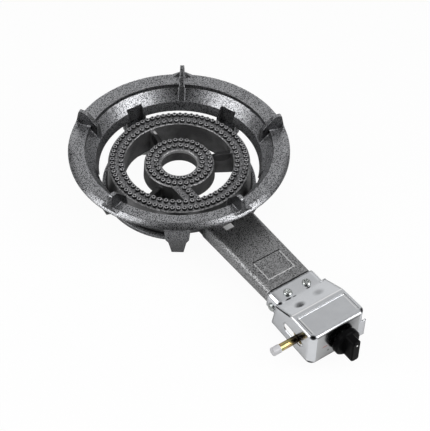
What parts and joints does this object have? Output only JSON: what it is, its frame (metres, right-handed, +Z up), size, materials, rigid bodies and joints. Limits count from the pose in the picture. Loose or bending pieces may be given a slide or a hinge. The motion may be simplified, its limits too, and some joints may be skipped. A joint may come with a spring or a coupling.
{
  "type": "gas stove",
  "caption": "Low cast iron gas ring stove with a pan ring on legs, a two ring burner, a flat mixing arm and a knob valve under a sheet cover.",
  "frame": {"origin": "on the floor under the centre of the burner", "axes": "+Z up, the mixing arm runs along -Y and the knob faces -Y, the gas inlet points along -X"},
  "size_m": [0.25, 0.439, 0.0966],
  "materials": {
    "stand_paint": "hammertone silver grey paint",
    "arm_paint": "hammertone silver grey paint",
    "burner_iron": "bare cast iron",
    "steel": "zinc plated",
    "screw_steel": "zinc plated",
    "gasket": "graphite sheet",
    "zinc_sheet": "zinc plated sheet",
    "brass": "turned",
    "seal": "black rubber",
    "pipe_zinc": "yellow zinc plated",
    "cap_plastic": "milky translucent",
    "knob_plastic": "black gloss"
  },
  "bodies": {
    "stove": {"stand": "stand_paint", "mixing_arm": "arm_paint", "burner_head": "burner_iron", "outer_ports": "burner_iron", "inner_ports": "burner_iron", "head_bolts": "steel", "head_washers": "steel", "arm_bolts": "steel", "arm_gasket": "gasket", "cover": "zinc_sheet", "cover_screws": "screw_steel", "valve_body": "brass", "bonnet": "brass", "bonnet_screws": "steel", "injector": "brass", "inlet_nut": "brass", "ferrule": "brass", "spindle_seal": "seal", "valve_washer": "steel", "valve_nut": "steel", "inlet_pipe": "pipe_zinc"},
    "plug": {"valve_plug": "brass", "plug_spring": "steel"},
    "knob": {"knob": "knob_plastic", "spindle": "steel"},
    "cap": {"pipe_cap": "cap_plastic"}
  },
  "joints": [
    {"name": "knob_turn", "type": "hinge", "parent": "stove", "child": "plug", "pos_m": [0.006, -0.272, 0.0322], "axis": [0, -1, 0], "range_deg": [0, 90]},
    {"name": "knob_push", "type": "slide", "parent": "plug", "child": "knob", "axis": [0, 1, 0], "range_m": [0, 0.003], "stiffness_N_per_m": 800, "springref_m": -0.004},
    {"name": "cap_pull", "type": "slide", "parent": "stove", "child": "cap", "axis": [-1, 0, 0], "range_m": [0, 0.012]}
  ]
}
